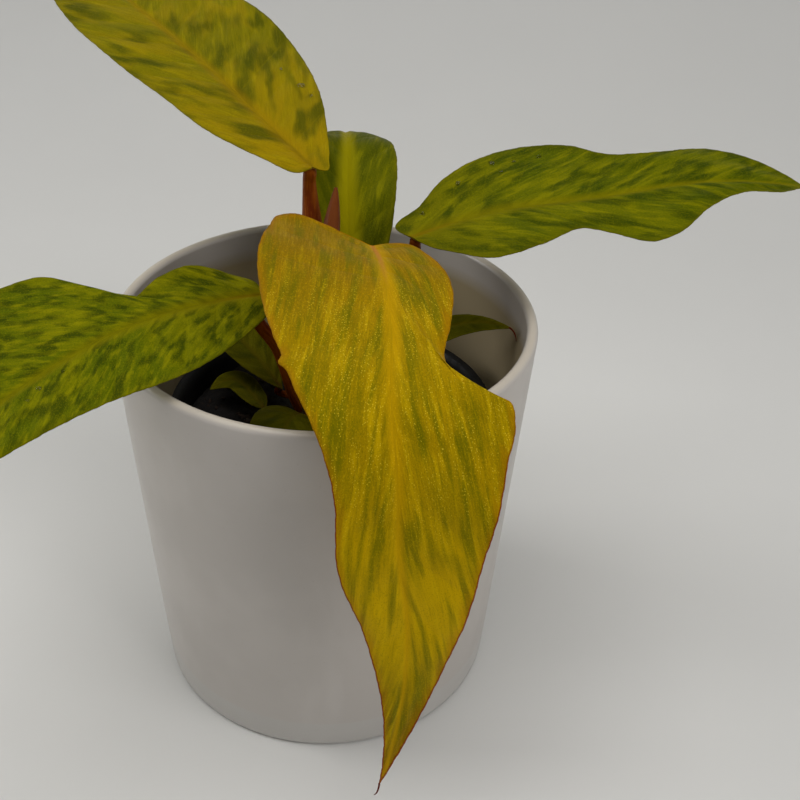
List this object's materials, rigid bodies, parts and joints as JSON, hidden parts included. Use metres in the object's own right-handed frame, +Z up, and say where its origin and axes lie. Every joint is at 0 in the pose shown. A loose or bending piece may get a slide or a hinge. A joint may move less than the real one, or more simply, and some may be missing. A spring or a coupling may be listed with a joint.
{
  "type": "potted philodendron",
  "caption": "Young philodendron with mottled yellow-green leaves, in a black nursery pot set inside a tapered white ceramic cover pot.",
  "frame": {"origin": "centre of the cover pot's flat underside", "axes": "+Z up out of the pot; the big golden leaf hangs over the rim on the -Y side, and the long right leaf reaches out towards +X"},
  "size_m": [0.269, 0.261, 0.2058],
  "materials": {
    "white_glaze": "satin",
    "black_plastic": "satin",
    "potting_mix": "matte",
    "roots": "matte",
    "stem": "matte",
    "new_leaf": "satin",
    "golden_blade": "satin",
    "olive_blade": "satin",
    "inner_blade": "satin",
    "petiole": "satin"
  },
  "bodies": {
    "root": {"cover_pot": "white_glaze", "nursery_pot": "black_plastic", "potting_mix": "potting_mix", "roots": "roots", "stem": "stem", "new_leaf": "new_leaf", "leaf_front": "golden_blade", "leaf_upper_left": "olive_blade", "leaf_back": "olive_blade", "leaf_right": "olive_blade", "leaf_left": "olive_blade", "leaf_inner_left": "inner_blade", "leaf_low_left": "inner_blade", "leaf_low_front": "inner_blade", "leaf_inner_right": "inner_blade", "petiole_front": "petiole", "petiole_upper_left": "petiole", "petiole_back": "petiole", "petiole_right": "petiole", "petiole_left": "petiole", "petiole_inner_left": "petiole", "petiole_low_left": "petiole", "petiole_low_front": "petiole", "petiole_inner_right": "petiole"}
  },
  "joints": []
}
